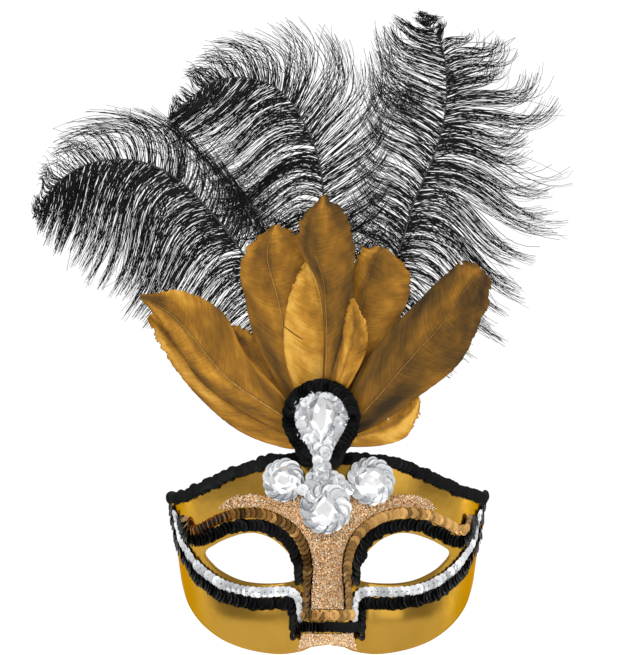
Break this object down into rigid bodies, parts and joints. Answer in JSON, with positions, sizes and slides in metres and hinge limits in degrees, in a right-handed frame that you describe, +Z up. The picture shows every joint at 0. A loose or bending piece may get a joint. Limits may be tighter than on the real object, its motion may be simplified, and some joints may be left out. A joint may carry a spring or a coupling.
{
  "type": "masquerade mask",
  "caption": "Gold formed half mask with sequin trims, gem rosettes and a gem plaque that carries a fan of gold feathers and tall ostrich plumes.",
  "frame": {"origin": "inner face of the nose bridge, on the eye line", "axes": "+Z up, the mask faces -Y, +X to the right of someone who looks at its front"},
  "size_m": [0.296, 0.0975, 0.3538],
  "materials": {
    "gold_plastic": "satin",
    "glitter": "satin",
    "black_sequin": "gloss",
    "silver_sequin": "gloss",
    "copper_sequin": "gloss",
    "gem": "gloss",
    "felt": "matte",
    "eyelet": "satin",
    "gold_feather": "satin",
    "quill": "satin",
    "ostrich_barb": "satin"
  },
  "bodies": {
    "mask": {"mask_shell": "gold_plastic", "glitter_film": "glitter", "nose_tip_glitter": "glitter", "nose_copper_trim": "copper_sequin", "nose_black_trim": "black_sequin", "stem_pad": "felt", "stem_tail": "silver_sequin", "top_trim_left": "black_sequin", "outer_trim_left": "black_sequin", "silver_trim_left": "silver_sequin", "lid_trim_left": "black_sequin", "copper_trim_left": "copper_sequin", "temple_tab_left": "gold_plastic", "eyelet_left": "eyelet", "top_trim_right": "black_sequin", "outer_trim_right": "black_sequin", "silver_trim_right": "silver_sequin", "lid_trim_right": "black_sequin", "copper_trim_right": "copper_sequin", "temple_tab_right": "gold_plastic", "eyelet_right": "eyelet", "rosette_left_felt": "felt", "rosette_left_ring": "silver_sequin", "rosette_left_gem": "gem", "rosette_right_felt": "felt", "rosette_right_ring": "silver_sequin", "rosette_right_gem": "gem", "rosette_low_felt": "felt", "rosette_low_ring": "silver_sequin", "rosette_low_gem": "gem"},
    "plume_head": {"plaque_card": "felt", "plaque_border": "black_sequin", "plaque_field": "silver_sequin", "plaque_gem": "gem", "feather_root": "felt", "fan_felt": "felt", "gold_feather_curl": "gold_feather", "gold_feather_tall": "gold_feather", "gold_feather_far_left": "gold_feather", "gold_feather_far_right": "gold_feather", "gold_feather_front": "gold_feather", "gold_feather_low_right": "gold_feather", "gold_feather_mid_left": "gold_feather", "gold_feather_mid_right": "gold_feather", "gold_feather_short_left": "gold_feather", "gold_feather_low_left": "gold_feather"},
    "left_plume": {"left_quill": "quill", "left_barbs": "ostrich_barb"},
    "centre_plume": {"centre_quill": "quill", "centre_barbs": "ostrich_barb"},
    "right_plume": {"right_quill": "quill", "right_barbs": "ostrich_barb"}
  },
  "joints": [
    {"name": "plaque_nod", "type": "hinge", "parent": "mask", "child": "plume_head", "pos_m": [-0.0035, 0.00284, 0.056], "axis": [1, 0, 0], "range_deg": [-12, 6], "stiffness_Nm_per_rad": 0.6},
    {"name": "left_sway", "type": "hinge", "parent": "plume_head", "child": "left_plume", "pos_m": [-0.0035, 0.01079, 0.064], "axis": [0, 1, 0], "range_deg": [-8, 8], "stiffness_Nm_per_rad": 0.3},
    {"name": "centre_sway", "type": "hinge", "parent": "plume_head", "child": "centre_plume", "pos_m": [-0.0035, 0.01579, 0.064], "axis": [0, 1, 0], "range_deg": [-8, 8], "stiffness_Nm_per_rad": 0.3},
    {"name": "right_sway", "type": "hinge", "parent": "plume_head", "child": "right_plume", "pos_m": [-0.0035, 0.01329, 0.064], "axis": [0, 1, 0], "range_deg": [-8, 8], "stiffness_Nm_per_rad": 0.3}
  ]
}
